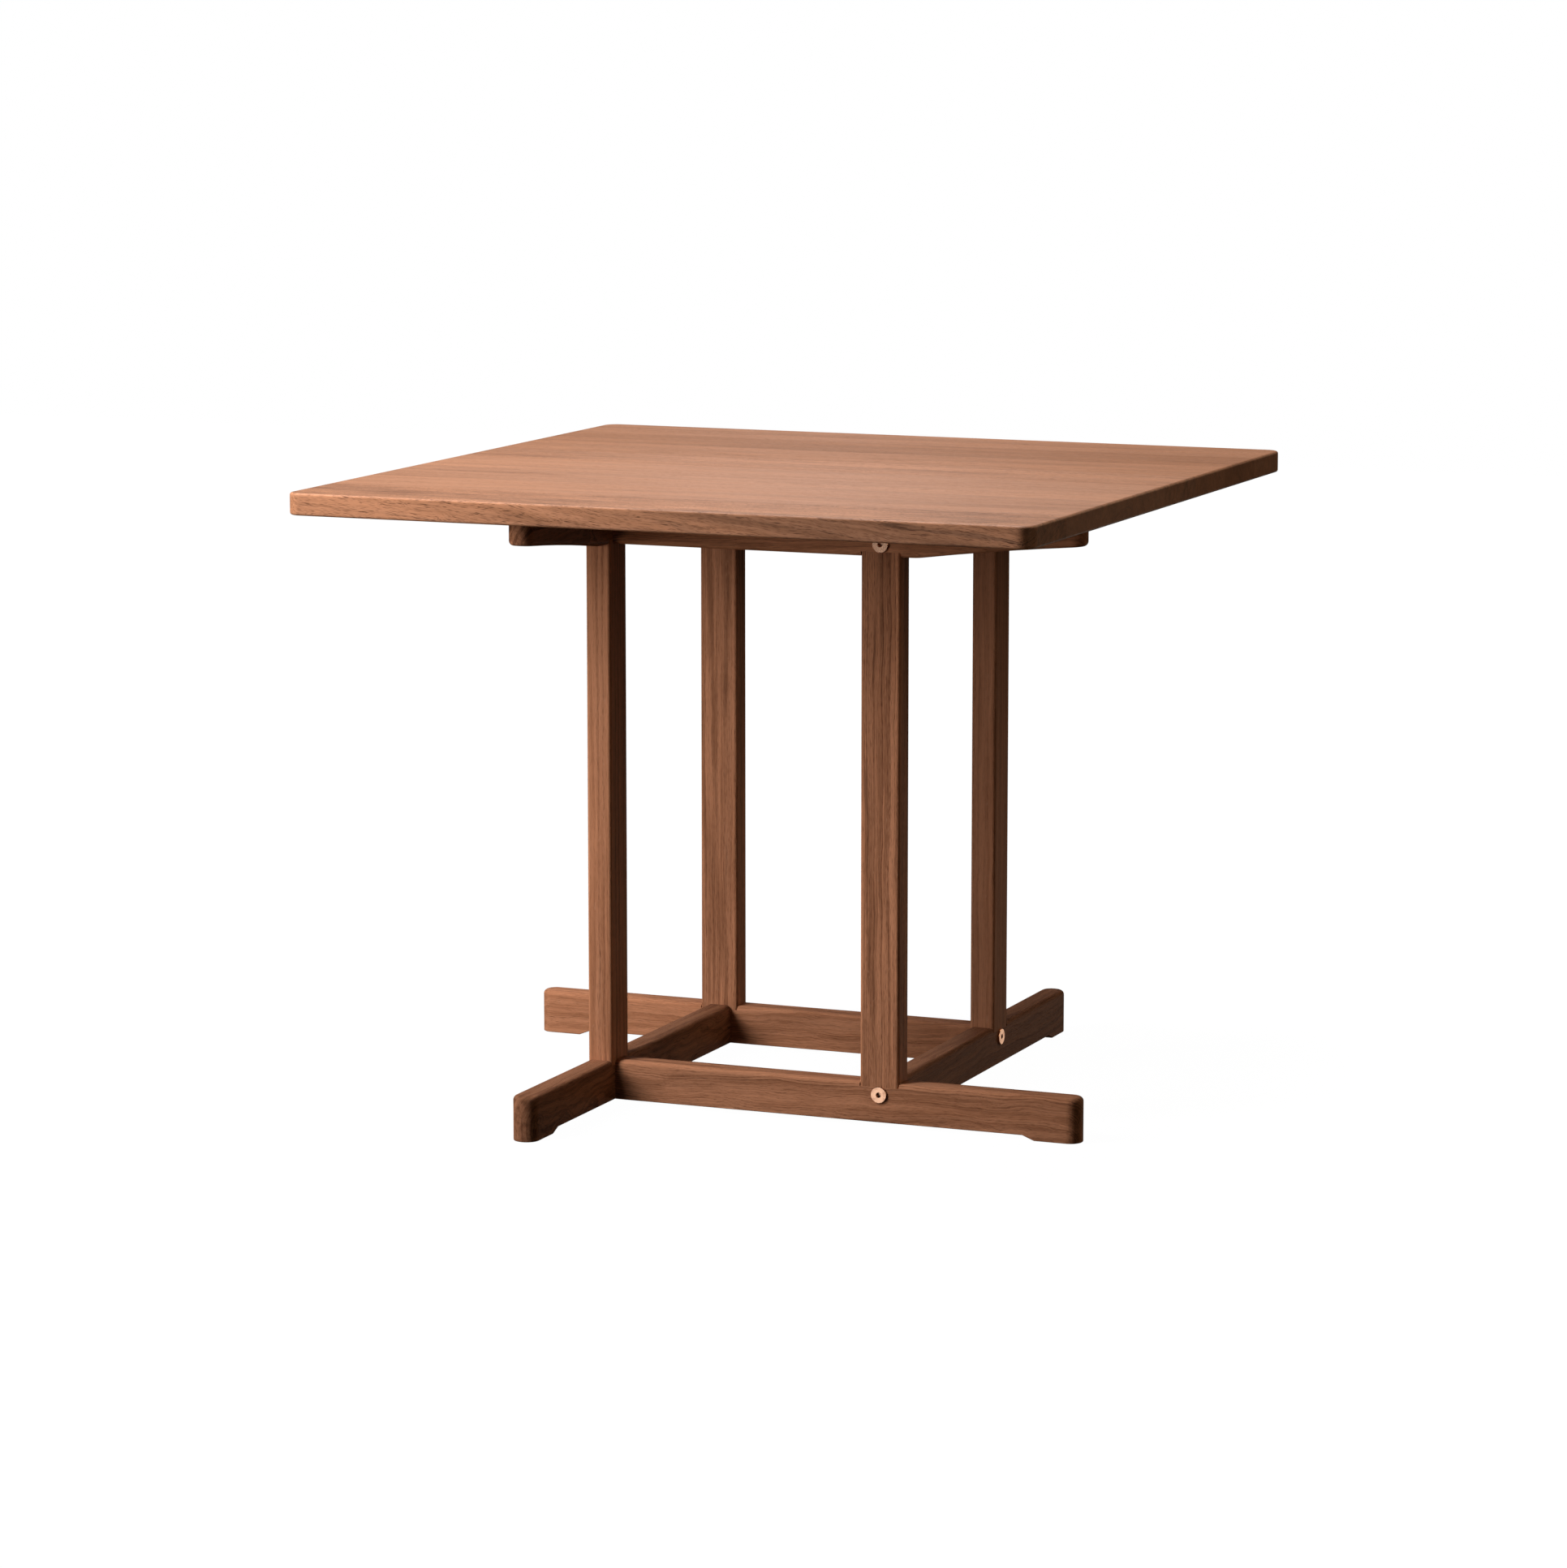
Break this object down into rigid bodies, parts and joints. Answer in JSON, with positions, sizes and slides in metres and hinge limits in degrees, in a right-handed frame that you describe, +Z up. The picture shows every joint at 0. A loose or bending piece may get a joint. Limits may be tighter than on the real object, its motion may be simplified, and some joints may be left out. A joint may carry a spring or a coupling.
{
  "type": "square dining table",
  "caption": "Square dining table with a solid wood top on a pinwheel base of legs and rails, drawn together by turned brass bolts.",
  "frame": {"origin": "on the floor, under the centre of the square top", "axes": "+X to the right along the front edge and the front rails, +Y to the back, +Z up"},
  "size_m": [0.88, 0.88, 0.72],
  "materials": {
    "oiled_oak": "oiled, satin",
    "brass": "turned, satin",
    "dowel_wood": "raw",
    "zinc_steel": "zinc plated"
  },
  "bodies": {
    "root": {"foot_barrel_nuts": "zinc_steel", "foot_bolts": "brass", "foot_dowels": "dowel_wood", "foot_rail_back": "oiled_oak", "foot_rail_front": "oiled_oak", "foot_rail_left": "oiled_oak", "foot_rail_right": "oiled_oak", "leg_back_left": "oiled_oak", "leg_back_right": "oiled_oak", "leg_front_left": "oiled_oak", "leg_front_right": "oiled_oak", "top_barrel_nuts": "zinc_steel", "top_bolts": "brass", "top_dowels": "dowel_wood", "top_rail_back": "oiled_oak", "top_rail_front": "oiled_oak", "top_rail_left": "oiled_oak", "top_rail_right": "oiled_oak", "top_screw_washers": "zinc_steel", "top_screws": "zinc_steel", "top_stave_1": "oiled_oak", "top_stave_2": "oiled_oak", "top_stave_3": "oiled_oak", "top_stave_4": "oiled_oak", "top_stave_5": "oiled_oak", "top_stave_6": "oiled_oak", "top_stave_7": "oiled_oak", "top_stave_8": "oiled_oak"}
  },
  "joints": []
}
